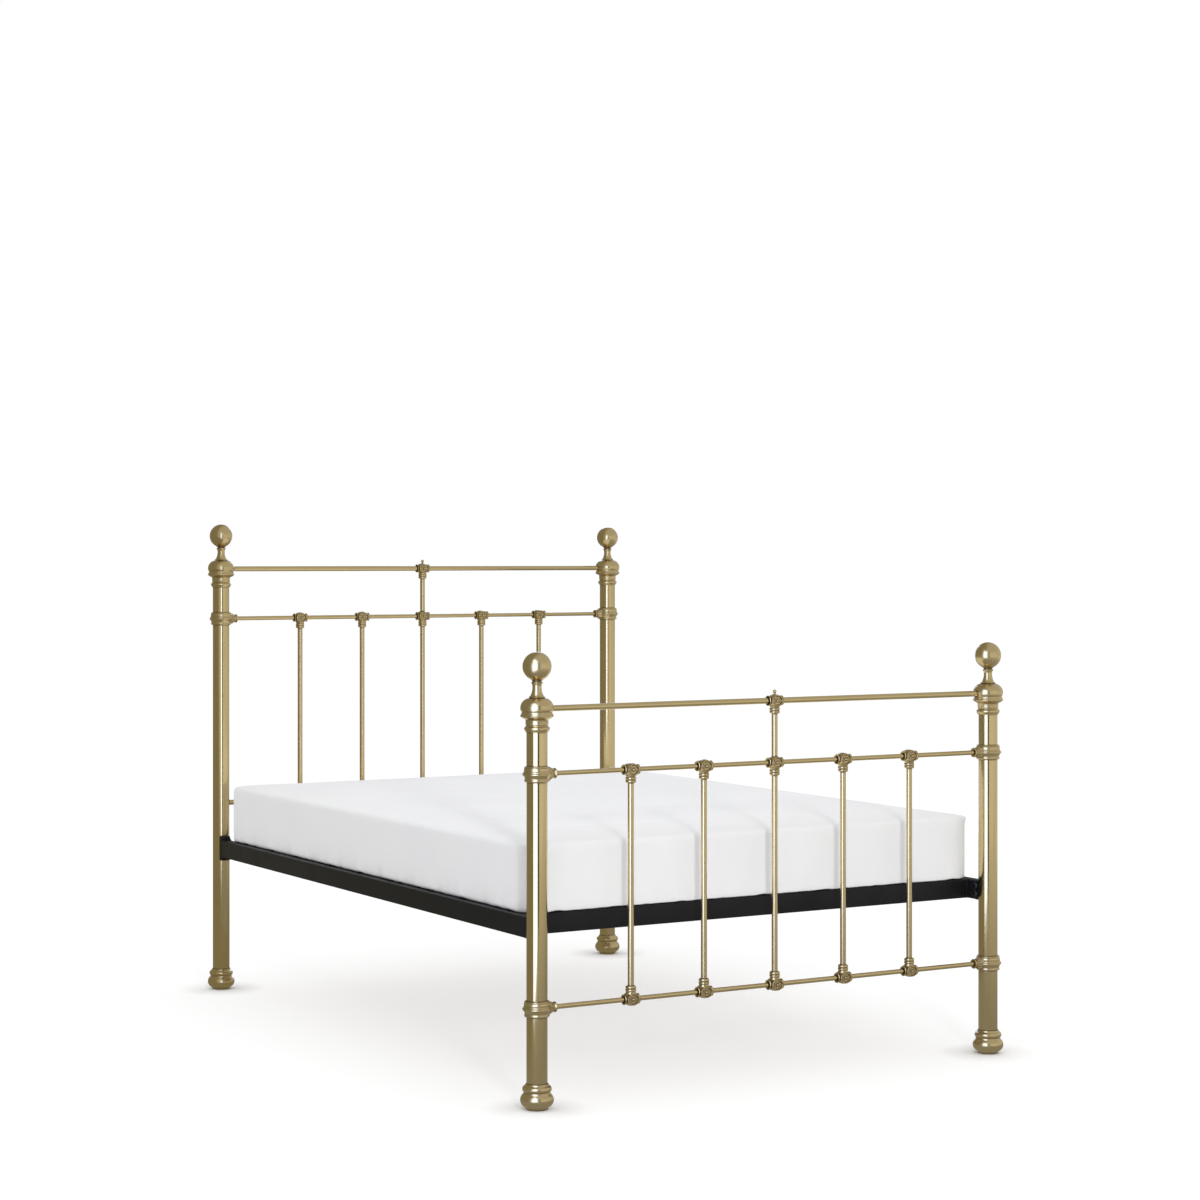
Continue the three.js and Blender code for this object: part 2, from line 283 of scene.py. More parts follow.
def give(tree, value):
    """Send out the one value that a group makes."""
    tree.interface.new_socket("Result", in_out="OUTPUT", socket_type="NodeSocketFloat")
    add(tree, "NodeGroupOutput", {0: value})


def use(tree, group, **values):
    """Place a group in a material and set its numbers."""
    return add(tree, "ShaderNodeGroup", values, node_tree=group).outputs[0]


def new_material(name, **values):
    """A material with one Principled shader. Its plain numbers are set on the shader."""
    material = bpy.data.materials.new(name)
    material.use_nodes = True
    shader = material.node_tree.nodes["Principled BSDF"]
    for key, value in values.items():
        shader.inputs[key.replace("_", " ")].default_value = value
    return material, material.node_tree


def link_shader(tree, tone, rough, relief, strength, depth):
    """Link colour, roughness and fine relief to a material's shader."""
    bump = add(tree, "ShaderNodeBump", {"Strength": strength, "Distance": depth, "Height": relief})
    shader = tree.nodes["Principled BSDF"]
    tree.links.new(tone, shader.inputs["Base Color"])
    tree.links.new(rough, shader.inputs["Roughness"])
    tree.links.new(bump.outputs["Normal"], shader.inputs["Normal"])


print("node helpers ready")

# %% [markdown]
# ## Shared effects
# *Mottling* is a slow unevenness, as left by polishing or handling. A hollows mask finds
# where a surface is hemmed in, by ambient occlusion: old polish or dust gathers there, and
# it also paints shade into hollows and where parts meet. *Edges* finds the sharp corners,
# where a finish rubs thin. *Skin* is the finest texture: the orange peel of paint or cast metal.

# %% Groups: mottling, hollow dirt and shade, edges and skin
mottling, values = new_group("mottling", Scale=10.0, Stretch=1.0)
stretch = add(mottling, "ShaderNodeCombineXYZ", {"X": 1.0, "Y": 1.0, "Z": values["Stretch"]})
place = vector(mottling, "MULTIPLY", own_place(mottling), stretch.outputs[0])
cloud = noise(mottling, place, values["Scale"], 5.0, Roughness=0.6)
give(mottling, spread(mottling, cloud, 0.32, 0.68))

# ambient occlusion finds hollows and the places where parts meet: some finishes gather dirt there,
# and others are darkened there as painted shade
hollow_dirt_and_shade, values = new_group("hollow_dirt_and_shade", Strength=1.0)
shelter = add(hollow_dirt_and_shade, "ShaderNodeAmbientOcclusion", {"Distance": 0.0045}, samples=8)
mask = spread(hollow_dirt_and_shade, shelter.outputs["AO"], 0.96, 0.58)
give(hollow_dirt_and_shade, math(hollow_dirt_and_shade, "MULTIPLY", mask, values["Strength"]))

edges, values = new_group("edges", Strength=1.0, Patches=60.0)
rounded = add(edges, "ShaderNodeBevel", {"Radius": 0.0018}, samples=4).outputs["Normal"]
plain = add(edges, "ShaderNodeNewGeometry").outputs["Normal"]
mask = spread(edges, vector(edges, "DOT_PRODUCT", rounded, plain), 0.995, 0.93)
patches = noise(edges, own_place(edges), values["Patches"])
mask = math(edges, "MULTIPLY", mask, spread(edges, patches, 0.42, 0.62))
give(edges, math(edges, "MULTIPLY", mask, values["Strength"]))

skin, values = new_group("skin", Scale=800.0)
give(skin, noise(skin, own_place(skin), values["Scale"]))
print("groups:", [group.name for group in bpy.data.node_groups])

# %% [markdown]
# ## Brass
# The tubes and castings are plated with brass that is left a little aged, satin rather than
# mirror bright. A metal has no colour of its own but the tint of its reflections, so the
# base colour is the tint. Polishing unevenly varies the roughness. Hollows are painted dark
# brown and rougher: partly old polish that the cloth never reaches, and partly painted shade
# in narrow gaps and where parts meet. A thin lacquer adds the crisp top reflection.
# Drawn tube starts smooth and polishes brighter than castings and turned pieces do.

# %% Satin brass
def brass_finish(name, polish, skin_strength, groove_strength):
    material, tree = new_material(name, Metallic=1.0, Coat_Weight=0.1, Coat_Roughness=0.1)
    uneven = use(tree, mottling, Scale=14.0, Stretch=0.35)
    speckle = use(tree, mottling, Scale=160.0)
    # old polish and painted shade: hollows, and the places where parts meet, turn dark brown and a
    # little rougher
    polish_and_shade = use(tree, hollow_dirt_and_shade, Strength=groove_strength)
    tone = blend(tree, uneven, (0.63, 0.49, 0.24, 1), (0.66, 0.52, 0.26, 1))
    tone = blend(tree, math(tree, "MULTIPLY", speckle, 0.03), tone, (0.50, 0.375, 0.165, 1))
    tone = blend(tree, polish_and_shade, tone, (0.20, 0.14, 0.055, 1))
    rough = spread(tree, uneven, 0.0, 1.0, polish, polish + 0.012)
    rough = math(tree, "ADD", rough, math(tree, "MULTIPLY", speckle, 0.004))
    rough = math(tree, "ADD", rough, math(tree, "MULTIPLY", polish_and_shade, 0.2))
    link_shader(tree, tone, rough, use(tree, skin, Scale=700.0), skin_strength, 0.00004)
    return material


drawn_brass = brass_finish("drawn_brass", 0.11, 0.004, 1.0)
cast_brass = brass_finish("cast_brass", 0.25, 0.03, 0.95)
print("made", drawn_brass.name, "and", cast_brass.name)

# %% [markdown]
# ## Paint, plastic and steel
# The steel frame is powder coated: paint sprayed as dry powder and baked on. It is half
# matt, with the fine orange peel of melted powder, and a little thinner on sharp edges.
# The holders on the slat ends are moulded black plastic with a faint spark-eroded texture.
# The bolts are steel, blackened in an oil bath, which leaves them dark with bright edges.

# %% Finishes that wear at their edges
def worn_finish(name, patchy, tones, wear, roughness, relief, dust=None, **values):
    """Uneven tone, edges rubbed to another tone, and a fine skin.

    wear is strength, scale and tone. relief is scale, strength and depth. dust is the
    strength and tone of what gathers in grooves.
    """
    material, tree = new_material(name, **values)
    uneven = use(tree, mottling, Scale=patchy)
    worn = use(tree, edges, Strength=wear[0], Patches=wear[1])
    tone = blend(tree, worn, blend(tree, uneven, *tones), wear[2])
    if dust:
        tone = blend(tree, use(tree, hollow_dirt_and_shade, Strength=dust[0]), tone, dust[1])
    rough = spread(tree, uneven, 0.0, 1.0, *roughness)
    link_shader(tree, tone, rough, use(tree, skin, Scale=relief[0]), *relief[1:])
    return material


black_paint = worn_finish(
    "black_powder_coat",
    patchy=9.0,
    tones=((0.0078, 0.0078, 0.0082, 1), (0.011, 0.011, 0.0115, 1)),
    wear=(0.55, 45.0, (0.055, 0.054, 0.052, 1)),
    roughness=(0.38, 0.48),
    relief=(650.0, 0.25, 0.0003),
    dust=(0.35, (0.022, 0.021, 0.020, 1)),
    Specular_IOR_Level=0.2,
)
plastic = worn_finish(
    "black_plastic",
    patchy=25.0,
    tones=((0.020, 0.020, 0.021, 1), (0.028, 0.028, 0.029, 1)),
    wear=(0.4, 90.0, (0.06, 0.06, 0.06, 1)),
    roughness=(0.48, 0.6),
    relief=(1500.0, 0.35, 0.0002),
    Specular_IOR_Level=0.45,
)
steel = worn_finish(
    "blackened_steel",
    patchy=120.0,
    tones=((0.05, 0.05, 0.055, 1), (0.09, 0.088, 0.09, 1)),
    wear=(0.9, 150.0, (0.32, 0.31, 0.3, 1)),
    roughness=(0.32, 0.5),
    relief=(2200.0, 0.2, 0.0001),
    Metallic=1.0,
)
print("made", black_paint.name, plastic.name, "and", steel.name)

# %% [markdown]
# ## Beech
# Slats are peeled beech, pressed and lacquered. Beech is pale pinkish brown with long soft
# growth bands and a fleck of short dark dashes, all running along the slat. Stretching the
# noise along X draws both. The bands shift with place, so no two slats are alike.

# %% Lacquered beech
beech, tree = new_material("lacquered_beech", Coat_Weight=0.25, Coat_Roughness=0.25)
place = own_place(tree)
long_way = add(tree, "ShaderNodeMapping", {"Vector": place, "Scale": (1.6, 34.0, 34.0)})
bands = noise(tree, long_way.outputs[0], 1.0, 6.0, Distortion=0.6)
fleck_way = add(tree, "ShaderNodeMapping", {"Vector": place, "Scale": (90.0, 1100.0, 1100.0)})
flecks = noise(tree, fleck_way.outputs[0], 1.0, 1.0)
band = spread(tree, bands, 0.3, 0.7)
dark_fleck = math(tree, "MULTIPLY", spread(tree, flecks, 0.58, 0.72), 0.45)
tone = blend(tree, band, (0.50, 0.30, 0.155, 1), (0.66, 0.45, 0.26, 1))
tone = blend(tree, dark_fleck, tone, (0.25, 0.13, 0.06, 1))
# painted shade: the beech turns darker brown wherever it is hemmed in, as inside its holders
tone = blend(tree, use(tree, hollow_dirt_and_shade, Strength=0.4), tone, (0.28, 0.17, 0.09, 1))
link_shader(tree, tone, spread(tree, bands, 0.3, 0.7, 0.5, 0.38), flecks, 0.15, 0.0003)
print("made", beech.name)

# %% [markdown]
# ## White cover
# The mattress wears a close cotton stretch knit. Three waves, one along each axis, add up to
# a small dimpled stitch on the top and on every side alike. Long fibres catch light at
# grazing angles, which is what sheen is for.

# %% Knitted cotton
stitch, values = new_group("stitch", Pitch=0.0016)
place = add(stitch, "ShaderNodeSeparateXYZ", {0: own_place(stitch)})
turns = math(stitch, "DIVIDE", 2 * pi, values["Pitch"])
waves = [math(stitch, "SINE", math(stitch, "MULTIPLY", axis, turns)) for axis in place.outputs]
total = math(stitch, "ADD", math(stitch, "ADD", waves[0], waves[1]), waves[2])
give(stitch, spread(stitch, total, -2.0, 2.0))

cover, tree = new_material(
    "white_knit", Sheen_Weight=0.12, Sheen_Roughness=0.5, Specular_IOR_Level=0.25
)
uneven = use(tree, mottling, Scale=5.0)
lint = use(tree, mottling, Scale=320.0)
stitches = use(tree, stitch, Pitch=0.0018)
tone = blend(tree, uneven, (0.846, 0.849, 0.861, 1), (0.870, 0.870, 0.875, 1))
tone = blend(tree, math(tree, "MULTIPLY", lint, 0.08), tone, (0.79, 0.79, 0.80, 1))
tone = blend(tree, math(tree, "MULTIPLY", stitches, 0.05), tone, (0.78, 0.78, 0.79, 1))
# painted shade: the white cover turns grey wherever it is hemmed in
tone = blend(tree, use(tree, hollow_dirt_and_shade, Strength=0.25), tone, (0.62, 0.62, 0.64, 1))
relief = math(tree, "ADD", stitches, math(tree, "MULTIPLY", lint, 0.4))
link_shader(tree, tone, spread(tree, lint, 0.0, 1.0, 0.78, 0.9), relief, 0.3, 0.0003)
print("made", cover.name)

# %% [markdown]
# ## Putting a piece into service
# Every finished piece gets its material and the body that it moves with. The plain CAD nodes
# that it stands for are hidden, and the piece's name goes on a list.

# %% Hand over a piece
handed_over = []


def hand_over(piece, material, *nodes, body="bedstead"):
    piece.data.materials.clear()
    piece.data.materials.append(material)
    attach(piece, body)
    if nodes:
        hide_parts(*nodes)
    handed_over.append(piece.name)


print("ready to hand over pieces")

# %% [markdown]
# ## Places that everything hangs on
# The axes of the posts and rails are read from the CAD nodes. Left is -X, and the foot end
# is -Y. Collars, caps and rail holes are made facing +X, and are turned to face inward.

# %% Axes of posts and rails
def middle(node):
    low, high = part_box(node)
    return (low + high) / 2


post_axis = {
    (end, side): middle(f"{end}_{side}_post")
    for end in ("head", "foot")
    for side in ("left", "right")
}
facing = {"left": (0, 0, 0), "right": (0, 0, pi)}
cap_top = {end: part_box(f"{end}_left_cap")[1].z for end in ("head", "foot")}
rail_height = {}
rail_radius = {}
for end in ("head", "foot"):
    for level in ("top", "mid", "low"):
        low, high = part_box(f"{end}board_{level}_rail")
        rail_height[end, level] = middle(f"{end}board_{level}_rail").z
        rail_radius[end, level] = (high.z - low.z) / 2 / MM
tube_radius = 25.0
print("rails at", {key: round(value, 3) for key, value in rail_height.items()})

# %% [markdown]
# ## Post tubes
# Each post is a plain brass tube. On the lathe a tube is a narrow closed loop: up the
# outside and down the inside. The headboard's low rail passes through a hole drilled in the
# side of its posts, so those two tubes are drilled with a boolean cut.

# %% Post tubes
tube_wall = 1.5
hole_clearance = 0.4


def tube_profile(radius, wall, low, high):
    edge = 0.3
    return [
        (radius - wall, low), (radius - edge, low), (radius, low + edge),
        (radius, high - edge), (radius - edge, high), (radius - wall, high), (radius - wall, low),
    ]


for (end, side), axis in post_axis.items():
    name = f"{end}_{side}_post"
    low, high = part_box(name)
    profile = tube_profile(tube_radius, tube_wall, low.z / MM, high.z / MM)
    post = turned(name + "_tube", profile, steps=96)
    if end == "head":
        hole = rail_radius["head", "low"] + hole_clearance
        drill = round_bar("drill", hole, 0, 60, "X", place=(0, 0, rail_height["head", "low"]))
        boolean(post, drill, "DIFFERENCE")
    post.rotation_euler = facing[side]
    post.location = (axis.x, axis.y, 0)
    hand_over(fix_place(post), drawn_brass, name)
print("posts stand at", [tuple(round(v, 3) for v in axis[:2]) for axis in post_axis.values()])

# %% [markdown]
# ## Turned feet
# A bun, a waist and a bead, turned from one piece. The spigot on top goes up inside the
# post tube. The curves are parts of ellipses, as a turner's gouge would leave them.

# %% Feet
foot_height = 61
spigot_radius = tube_radius - tube_wall - 0.3
foot_profile = [
    (0, 1.2), (21, 1.2), (22, 0), (25, 0), (26.2, 0.9), (27, 2.4), (27, 3.6),
    *arc(22, 22.5, 18, 18, -72, 48, 16),
    (33.1, 37.0), (32.4, 38.0), (32.1, 39.2), (31.6, 40.2),
    *arc(27, 48.4, 8, 8.2, -55, 68, 12),
    (28.9, 57.0), (27.9, 58.2), (27.6, 59.6), (27.5, foot_height - 0.6), (27, foot_height),
    (spigot_radius, foot_height), (spigot_radius, foot_height + 29),
    (spigot_radius - 1, foot_height + 30), (0, foot_height + 30),
]
foot = turned("foot_pattern", foot_profile, steps=80)
print("a foot has", len(foot.data.polygons), "faces")


def place_at_posts(pattern, suffix, node, heights, turned_inward=False):
    """Copy a cast pattern to all four posts, and use the pattern up."""
    for (end, side), axis in post_axis.items():
        turn = facing[side] if turned_inward else (0, 0, 0)
        piece = copied(pattern, f"{end}_{side}_{suffix}", (axis.x, axis.y, heights[end]), turn)
        hand_over(piece, cast_brass, f"{end}_{side}_{node}")
    scrap(pattern)


place_at_posts(foot, "bun_foot", "foot", {"head": 0, "foot": 0})

# %% [markdown]
# ## Post caps
# The cap slides over the top of the tube. From the top down: a dome, a groove, a sharp
# flange, a plain collar and a bead. The top rail goes into a hole in the dome, so the hole
# is cut with the rail's radius and a hair more, which leaves a dark line round the rail.

# %% Caps
cap_bore = tube_radius + 0.3
rail_drop = 26                      # cap top to the axis of the top rail
rail_depth = 19                     # how far the rail goes into the dome
dome_radius = 39.5
stud_radius = 6.3
cap_profile = [
    (0, -42), (cap_bore, -42), (cap_bore, -81), (26.8, -81), (27.3, -80.4), (27.3, -79.4),
    *arc(25.6, -73.2, 4.9, 5.6, -58, 62, 12),
    (27.2, -67.3), (26.3, -66.3), (26.1, -65.2), (26.4, -64.2), (27.0, -63.4), (27.2, -62.2),
    (27.2, -53.2), (27.6, -52.0), (28.6, -51.0),
    (31.0, -50.0), (33.6, -48.7), (36.2, -47.0), (38.4, -45.2), (39.6, -44.2),
    (40.0, -43.6), (40.0, -42.8), (39.6, -42.0), (38.8, -41.2), (38.2, -40.2), (37.9, -39.0),
    (37.2, -37.4), (36.5, -36.0), (36.2, -34.6), (36.4, -33.2), (37.1, -31.8),
    *arc(14, -24, dome_radius - 14, 24, -16, 90, 24),
    (stud_radius, 0), (stud_radius, -14.5), (0, -14.5),
]
cap = turned("cap_pattern", cap_profile, steps=96)
hole = rail_radius["head", "top"] + 0.7
hole_end = dome_radius - rail_depth
drill = round_bar("drill", hole, hole_end, 60, "X", place=(0, 0, -rail_drop * MM))
boolean(cap, drill, "DIFFERENCE")
place_at_posts(cap, "domed_cap", "cap", cap_top, turned_inward=True)
print("caps end at", {end: round(top, 4) for end, top in cap_top.items()})

# %% [markdown]
# ## Ball finials
# A ball on a slender neck, screwed into the cap by a stud. The neck flares to a thin rim
# over the dome. The ball's lower part stops at a small lip, so its arc starts where the ball
# is as wide as the lip.

# %% Finials
ball_radius = 34.4
lip_radius = 14.0
lip_height = 42.2
ball_centre = lip_height + sqrt(ball_radius ** 2 - lip_radius ** 2)
lip_angle = -90 + atan2(lip_radius, ball_centre - lip_height) * 180 / pi
finial_profile = [
    (0, -14), (5.5, -14), (6, -13.5), (6, 0.2), (18.8, 0.2), (19.5, 0.7), (19.7, 1.4), (19.2, 2.1),
    (18.2, 2.5), (16.9, 3.6), (15.5, 5.6), (14.2, 8.0), (13.1, 10.8), (12.2, 13.8), (11.5, 17.2),
    (11.0, 21.0), (10.8, 24.6), (11.0, 28.0), (11.6, 31.0), (12.6, 33.0), (13.8, 34.2),
    (14.2, 35.2), (14.0, 36.2), (13.0, 36.9), (11.4, 37.4), (10.8, 38.2), (10.8, 39.3),
    (11.4, 40.0), (12.4, 40.3), (13.6, 40.8), (14.3, 41.5),
    *arc(0, ball_centre, ball_radius, ball_radius, lip_angle, 90, 40),
]
finial = turned("finial_pattern", finial_profile, steps=80)
place_at_posts(finial, "ball_finial", "finial", cap_top)
print("a finial stands", round(ball_centre + ball_radius, 1), "mm high")

# %% [markdown]
# ## Collars
# Each mid or low rail ends in a collar cast round its post: two rings and between them a
# band that slopes out to a sharp ridge. A trumpet-shaped boss reaches out to hold the rail.
# Ring and boss are two turned shapes, at right angles, joined and then bored for the rail.

# %% Collars
collar_profile = [
    (cap_bore, -18.7), (27.4, -18.7), (28.7, -18.3), (29.8, -17.3), (30.4, -15.8), (30.2, -14.2),
    (29.5, -13.1), (29.1, -12.2), (29.2, -10.8), (29.9, -8.4), (31.1, -6.0), (32.5, -4.1),
    (33.9, -2.8), (34.7, -1.6), (34.8, -0.2), (34.4, 1.0), (33.5, 1.9), (32.6, 2.4),
    (32.3, 3.1), (32.5, 4.2), (32.1, 5.3), (31.2, 6.1), (30.8, 6.8), (30.9, 7.9),
    (31.0, 10.0), (30.7, 12.6), (30.2, 14.3), (29.6, 14.9), (29.7, 15.6), (30.0, 16.5),
    (29.6, 17.6), (28.6, 18.4), (27.2, 18.7), (cap_bore, 18.7), (cap_bore, -18.7),
]
boss_profile = [
    (0, 26.6), (17.0, 26.6), (16.6, 28.4), (15.6, 30.8), (14.2, 33.4), (12.7, 36.0), (11.3, 38.6),
    (10.4, 41.0), (10.1, 42.8), (10.4, 44.2), (11.3, 45.2), (12.3, 46.0), (12.8, 47.0), (12.8, 48.0),
    (12.3, 49.0), (11.3, 49.5), (10.0, 49.3), (8.2, 47.4), (0, 47.4),
]
rib_count = 12
rib_size = (8.8, 2.0, 2.0)          # half length, width and height
rib_middle = (33.5, 13.6)           # from the post's axis, and from the rail's
rib_slope = 23                      # degrees, as the boss narrows


def ribs():
    """Ribs that run along the boss, spread evenly round it."""
    deselect()
    lying = (0, radians(90), 0)
    bpy.ops.mesh.primitive_uv_sphere_add(segments=12, ring_count=10, radius=MM, rotation=lying)
    pattern = bpy.context.object
    fix_place(pattern)
    pattern.scale = rib_size
    fix_place(pattern)
    pattern.rotation_euler = (0, radians(rib_slope), 0)
    pattern.location = (rib_middle[0] * MM, 0, rib_middle[1] * MM)
    fix_place(pattern)
    angles = [2 * pi * (i + 0.5) / rib_count for i in range(rib_count)]
    fan = [copied(pattern, "rib", turn=(angle, 0, 0)) for angle in angles]
    scrap(pattern)
    return joined(fan)


collar = turned("collar_pattern", collar_profile, steps=96)
boolean(collar, turned("boss", boss_profile, "X", 48), "UNION")
boolean(collar, ribs(), "UNION")
bore = rail_radius["foot", "mid"] + 0.5
boolean(collar, round_bar("drill", bore, 26, 60, "X"), "DIFFERENCE")

collars = [(end, side, "mid") for end, side in post_axis]
collars += [("foot", side, "low") for side in facing]
for end, side, level in collars:
    axis = post_axis[end, side]
    name = f"{end}_{side}_{level}"
    place = (axis.x, axis.y, rail_height[end, level])
    piece = copied(collar, name + "_cast_collar", place, facing[side])
    hand_over(piece, cast_brass, name + "_collar")
print(len(collars), "collars")
scrap(collar)

# %% [markdown]
# ## Rails
# Six brass tubes cross the two ends: a thicker top rail, a thinner mid rail and a low rail.
# They are closed loops on the lathe too, lying along X.

# %% Rails
rail_wall = 1.2
for end, level in rail_height:
    name = f"{end}board_{level}_rail"
    low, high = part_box(name)
    profile = tube_profile(rail_radius[end, level], rail_wall, low.x / MM, high.x / MM)
    rail = turned(name + "_tube", profile, "X", 48)
    rail.location = (0, middle(name).y, rail_height[end, level])
    hand_over(fix_place(rail), drawn_brass, name)
print("rails:", len(rail_height))

# %% [markdown]
# ## Knuckles
# Where a spindle meets a rail the real bed has a cast knuckle. It is three turned shapes
# joined: a sleeve along the rail with flared dish ends, a drum with a rosette on both faces,
# and a beaded neck that the spindle goes into. The rosette's petals are small spheres
# flattened and pinched, six round a centre boss.

# %% Petals of a rosette
drum_belly = 16.0                   # radius round its middle
petal_circle = 7.3
petal_count = 6
face_floor = 12.4                   # the sunk floor of a rosette, from the rail's axis
drum_stretch = (1.22, 1.04, 1.0)    # the drum is wider than it is high


def petal():
    """One petal that points along +X and stands up along -Y."""
    deselect()
    bpy.ops.mesh.primitive_uv_sphere_add(segments=14, ring_count=8, radius=MM)
    piece = bpy.context.object
    bpy.ops.object.mode_set(mode="EDIT")
    bpy.ops.mesh.select_all(action="SELECT")
    bpy.ops.transform.resize(value=(3.35, 2.5, 2.75))
    bpy.ops.object.mode_set(mode="OBJECT")
    for point in piece.data.vertices:
        point.select = point.co.x < -0.5 * MM
    bpy.ops.object.mode_set(mode="EDIT")
    bpy.ops.mesh.select_mode(type="VERT")
    bpy.ops.transform.resize(value=(1, 0.8, 0.6))
    bpy.ops.object.mode_set(mode="OBJECT")
    return piece


def petals():
    """The petals of both faces, as one mesh."""
    pattern = petal()
    pattern.location.x = petal_circle * MM
    fix_place(pattern)
    ring = []
    for face in (-1, 1):
        for i in range(petal_count):
            turn = (0, 2 * pi * (i + 0.5) / petal_count, 0)
            place = (0, face * face_floor * MM, 0)
            ring.append(copied(pattern, "petal", place, turn))
    scrap(pattern)
    return joined(ring)


# %% A knuckle
boss_rise = [(0, -15.6), (1.3, -15.5), (2.4, -15.1), (3.0, -14.3), (3.2, -face_floor)]
face_rim = [
    (10.8, -face_floor), (11.1, -14.0), (11.6, -14.9), (12.5, -15.2),
    (13.4, -14.8), (13.9, -13.9), (14.0, -12.8),
]
belly = [(14.7, -10.4), (15.3, -7.6), (15.8, -4.4), (drum_belly, -1.5)]
half_drum = boss_rise + face_rim + belly
drum_profile = half_drum + [(radius, -height) for radius, height in half_drum[::-1]]
neck_profile = [
    (0, -4), (13.4, -4), (13.4, -11.0), (12.9, -14.6), (12.2, -16.6), (11.6, -17.6), (11.6, -18.2),
    (12.3, -18.9), (13.0, -20.0), (13.3, -21.5), (13.0, -23.0), (12.3, -24.1), (11.5, -24.8),
    (11.5, -25.2), (12.3, -25.9), (12.9, -26.9), (13.1, -28.2), (12.8, -29.7), (12.1, -31.0),
    (11.2, -31.9), (10.2, -32.4), (9.2, -32.5), (8.6, -32.0), (8.3, -29), (0, -29),
]


def sleeve_profile(radius):
    half = [
        (0, -16.6), (radius + 0.9, -16.6), (radius + 2.2, -18.4), (radius + 3.6, -20.2),
        (11.3, -21.0), (12.3, -21.0), (12.9, -20.3), (12.8, -19.3), (12.0, -18.0),
        (10.9, -16.6), (10.0, -15.2), (9.5, -13.6),
    ]
    return half + [(r, -h) for r, h in half[::-1]]


def knuckle(radius):
    """A knuckle for a rail of this radius, at the origin, with its neck downwards."""
    piece = turned("knuckle", drum_profile, "Y", 48)
    boolean(piece, petals(), "UNION")
    piece.scale = drum_stretch
    fix_place(piece)
    boolean(piece, turned("sleeve", sleeve_profile(radius), "X", 40), "UNION")
    boolean(piece, turned("neck", neck_profile, "Z", 48), "UNION")
    return piece


def bore_for_rail(piece, end, level):
    """Drill the hole that a rail runs through."""
    radius = rail_radius[end, level] + 0.15
    drill = round_bar("drill", radius, -40, 40, "X", place=(0, 0, rail_height[end, level]))
    boolean(piece, drill, "DIFFERENCE")


rail_sizes = rail_radius["foot", "mid"], rail_radius["head", "top"]
knuckles = {radius: knuckle(radius) for radius in rail_sizes}
print("knuckles have", [len(piece.data.polygons) for piece in knuckles.values()], "faces")

# %% [markdown]
# ## Spindles
# A spindle is one brass tube with a knuckle at each end. The pattern for each end of the bed
# is joined once and then copied along its rails. The lower knuckle is the same casting
# turned over.

# %% Spindles
spindle_radius = 7.5
tube_lap = 9                        # how far the tube starts from a rail's axis


def knuckle_at(end, level, turn=(0, 0, 0)):
    """A copy of the knuckle that fits this rail best, at the rail's height."""
    radius = rail_radius[end, level]
    nearest = min(knuckles, key=lambda size: abs(size - radius))
    return copied(knuckles[nearest], level, (0, 0, rail_height[end, level]), turn)


def spindle(end):
    upper = knuckle_at(end, "mid")
    lower = knuckle_at(end, "low", (pi, 0, 0))
    low = rail_height[end, "low"] / MM + tube_lap
    high = rail_height[end, "mid"] / MM - tube_lap
    piece = round_bar("spindle_pattern", spindle_radius, low, high, steps=40)
    boolean(piece, upper, "UNION")
    boolean(piece, lower, "UNION")
    bore_for_rail(piece, end, "mid")
    bore_for_rail(piece, end, "low")
    return piece


for end in ("head", "foot"):
    pattern = spindle(end)
    for number in range(1, 6):
        name = f"{end}board_spindle_{number}"
        place = (middle(name).x, post_axis[end, "left"].y, 0)
        hand_over(copied(pattern, name + "_cast", place), cast_brass, name)
    print(end, "spindles have", len(pattern.data.polygons), "faces each")
    scrap(pattern)

# %% [markdown]
# ## Upper spindles
# One short spindle joins the top rail to the middle of the mid rail. Its knuckle carries a
# bud, a tiny ball on a neck. Its foot is coped: cut hollow to sit on the drum below it.

# %% Upper spindles
bud_profile = [
    (0, 9), (4.9, 9), (4.9, 13.4), (4.5, 14.4), (3.4, 15.3), (2.6, 16.4), (2.5, 17.6), (2.9, 18.6),
    *arc(0, 22.8, 4.7, 4.7, -52, 90, 12),
]
for end in ("head", "foot"):
    name = end + "board_upper_spindle"
    top, mid = rail_height[end, "top"], rail_height[end, "mid"]
    low, high = mid / MM + 6, top / MM - tube_lap
    piece = round_bar(name + "_cast", spindle_radius, low, high, steps=40)
    cope = round_bar("cope", drum_belly + 0.1, -30, 30, "Y", 64)
    cope.scale = drum_stretch
    cope.location.z = mid
    boolean(piece, fix_place(cope), "DIFFERENCE")
    boolean(piece, knuckle_at(end, "top"), "UNION")
    bud = turned("bud", bud_profile, "Z", 32)
    bud.location.z = top
    boolean(piece, fix_place(bud), "UNION")
    bore_for_rail(piece, end, "top")
    piece.location.y = post_axis[end, "left"].y
    hand_over(fix_place(piece), cast_brass, name)
for pattern in knuckles.values():
    scrap(pattern)
print("brass pieces so far:", len(handed_over))

# %% [markdown]
# ## Side rails
# Each side rail is a steel box section with a strip welded inside it for the slats, and a
# plate at each end that hugs the post. The bars are rounded before they are joined, so the
# welded joints stay crisp as they are on the real frame, and the plates are bored last.

# %% Side rails
head_axis_y = post_axis["head", "left"].y
rail_bottom, rail_top = (corner.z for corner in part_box("foot_cross_rail"))
side_rail_width = 0.030
bracket_width = 0.028
bracket_reach = 0.039               # post axis to the face of the plate
bracket_wrap = 0.018                # post axis to the edge that hugs the post
plate_lip = 0.0008                  # a foot plate stands out this far from the rail
plate_heights = {                   # the head end carries the taller plates
    "head": tuple(corner.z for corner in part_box("left_side_rail")),
    "foot": (rail_bottom - plate_lip, rail_top + plate_lip),
}
ledge_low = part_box("slat_01")[0].z - 0.0043
ledge_thickness = 0.004
ledge_end = abs(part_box("centre_rail")[0].y)


